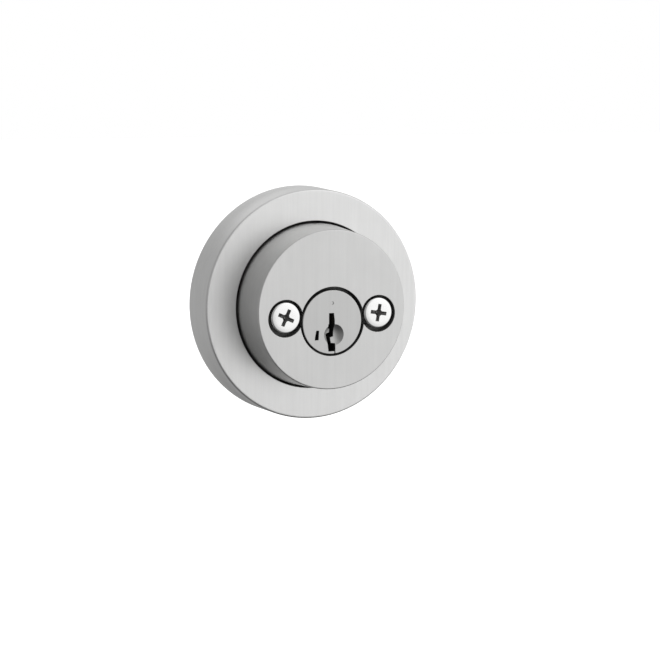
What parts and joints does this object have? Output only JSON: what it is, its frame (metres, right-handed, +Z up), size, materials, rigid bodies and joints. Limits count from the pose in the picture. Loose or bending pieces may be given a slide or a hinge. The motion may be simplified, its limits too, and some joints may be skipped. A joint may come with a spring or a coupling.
{
  "type": "deadbolt keyed trim",
  "caption": "Round satin keyed deadbolt trim: deep rose, proud cylinder housing with two through screws, rekeyable sidebar cylinder and a torque blade behind it.",
  "frame": {"origin": "where the plug's axis crosses the face of the door", "axes": "+Y into the door along the plug's axis, +X to the right seen from the keyway side, +Z up"},
  "size_m": [0.065, 0.0602, 0.065],
  "materials": {
    "satin_plate": "satin chrome plate, fine upright grain",
    "plug_satin": "satin chrome plate, slightly darker",
    "bright_plate": "bright nickel or chrome plate",
    "zinc_plate": "clear zinc plate",
    "die_cast": "grey die-cast zinc",
    "brass": "machined brass",
    "spring_steel": "bright spring wire",
    "blade_steel": "bare rolled steel"
  },
  "bodies": {
    "trim": {"rose": "satin_plate", "cylinder_housing": "satin_plate", "mounting_plate": "zinc_plate", "mounting_screw_left": "bright_plate", "mounting_screw_right": "bright_plate", "rose_screw_1": "zinc_plate", "rose_screw_2": "zinc_plate", "rose_screw_3": "zinc_plate", "plate_screw_top": "zinc_plate", "plate_screw_bottom": "zinc_plate", "cylinder_body": "die_cast"},
    "plug": {"plug": "plug_satin", "plug_clip": "spring_steel", "pin_cover": "brass", "drill_guard_pin_1": "spring_steel", "drill_guard_pin_2": "spring_steel", "tail_cap": "zinc_plate", "cap_screw_1": "zinc_plate", "cap_screw_2": "zinc_plate", "carrier_spring": "spring_steel", "pin_spring_1": "spring_steel", "pin_spring_2": "spring_steel", "pin_spring_3": "spring_steel", "pin_spring_4": "spring_steel", "pin_spring_5": "spring_steel"},
    "carrier": {"rekey_carrier": "die_cast", "sidebar_spring_1": "spring_steel", "sidebar_spring_2": "spring_steel"},
    "sidebar": {"sidebar": "brass"},
    "tailpiece": {"tailpiece": "blade_steel"},
    "key_pin_1": {"key_pin_1": "brass"},
    "rack_1": {"rack_1": "brass"},
    "key_pin_2": {"key_pin_2": "brass"},
    "rack_2": {"rack_2": "brass"},
    "key_pin_3": {"key_pin_3": "brass"},
    "rack_3": {"rack_3": "brass"},
    "key_pin_4": {"key_pin_4": "brass"},
    "rack_4": {"rack_4": "brass"},
    "key_pin_5": {"key_pin_5": "brass"},
    "rack_5": {"rack_5": "brass"}
  },
  "joints": [
    {"name": "plug_turn", "type": "hinge", "parent": "trim", "child": "plug", "pos_m": [0, 0, 0], "axis": [0, 1, 0], "range_deg": [-90, 90]},
    {"name": "tailpiece_turn", "type": "hinge", "parent": "plug", "child": "tailpiece", "pos_m": [0, 0.005, 0], "axis": [0, 1, 0], "range_deg": [0, 90]},
    {"name": "carrier_slide", "type": "slide", "parent": "plug", "child": "carrier", "axis": [0, 1, 0], "range_m": [0, 0.0019], "stiffness_N_per_m": 60, "springref_m": -0.002, "deforming": ["carrier_spring"]},
    {"name": "sidebar_slide", "type": "slide", "parent": "carrier", "child": "sidebar", "axis": [1, 0, 0], "range_m": [0, 0.0006], "stiffness_N_per_m": 60, "springref_m": -0.002, "deforming": ["sidebar_spring_1", "sidebar_spring_2"]},
    {"name": "key_pin_1_lift", "type": "slide", "parent": "plug", "child": "key_pin_1", "axis": [0, 0, 1], "range_m": [0, 0.0029], "stiffness_N_per_m": 30, "springref_m": -0.003, "deforming": ["pin_spring_1"]},
    {"name": "rack_1_lift", "type": "slide", "parent": "carrier", "child": "rack_1", "axis": [0, 0, 1], "range_m": [0, 0.0029]},
    {"name": "key_pin_2_lift", "type": "slide", "parent": "plug", "child": "key_pin_2", "axis": [0, 0, 1], "range_m": [0, 0.0029], "stiffness_N_per_m": 30, "springref_m": -0.003, "deforming": ["pin_spring_2"]},
    {"name": "rack_2_lift", "type": "slide", "parent": "carrier", "child": "rack_2", "axis": [0, 0, 1], "range_m": [0, 0.0029]},
    {"name": "key_pin_3_lift", "type": "slide", "parent": "plug", "child": "key_pin_3", "axis": [0, 0, 1], "range_m": [0, 0.0029], "stiffness_N_per_m": 30, "springref_m": -0.003, "deforming": ["pin_spring_3"]},
    {"name": "rack_3_lift", "type": "slide", "parent": "carrier", "child": "rack_3", "axis": [0, 0, 1], "range_m": [0, 0.0029]},
    {"name": "key_pin_4_lift", "type": "slide", "parent": "plug", "child": "key_pin_4", "axis": [0, 0, 1], "range_m": [0, 0.0029], "stiffness_N_per_m": 30, "springref_m": -0.003, "deforming": ["pin_spring_4"]},
    {"name": "rack_4_lift", "type": "slide", "parent": "carrier", "child": "rack_4", "axis": [0, 0, 1], "range_m": [0, 0.0029]},
    {"name": "key_pin_5_lift", "type": "slide", "parent": "plug", "child": "key_pin_5", "axis": [0, 0, 1], "range_m": [0, 0.0029], "stiffness_N_per_m": 30, "springref_m": -0.003, "deforming": ["pin_spring_5"]},
    {"name": "rack_5_lift", "type": "slide", "parent": "carrier", "child": "rack_5", "axis": [0, 0, 1], "range_m": [0, 0.0029]}
  ],
  "couplings": [
    {"joint": "rack_1_lift", "follows": "key_pin_1_lift", "ratio": 1},
    {"joint": "rack_2_lift", "follows": "key_pin_2_lift", "ratio": 1},
    {"joint": "rack_3_lift", "follows": "key_pin_3_lift", "ratio": 1},
    {"joint": "rack_4_lift", "follows": "key_pin_4_lift", "ratio": 1},
    {"joint": "rack_5_lift", "follows": "key_pin_5_lift", "ratio": 1}
  ]
}
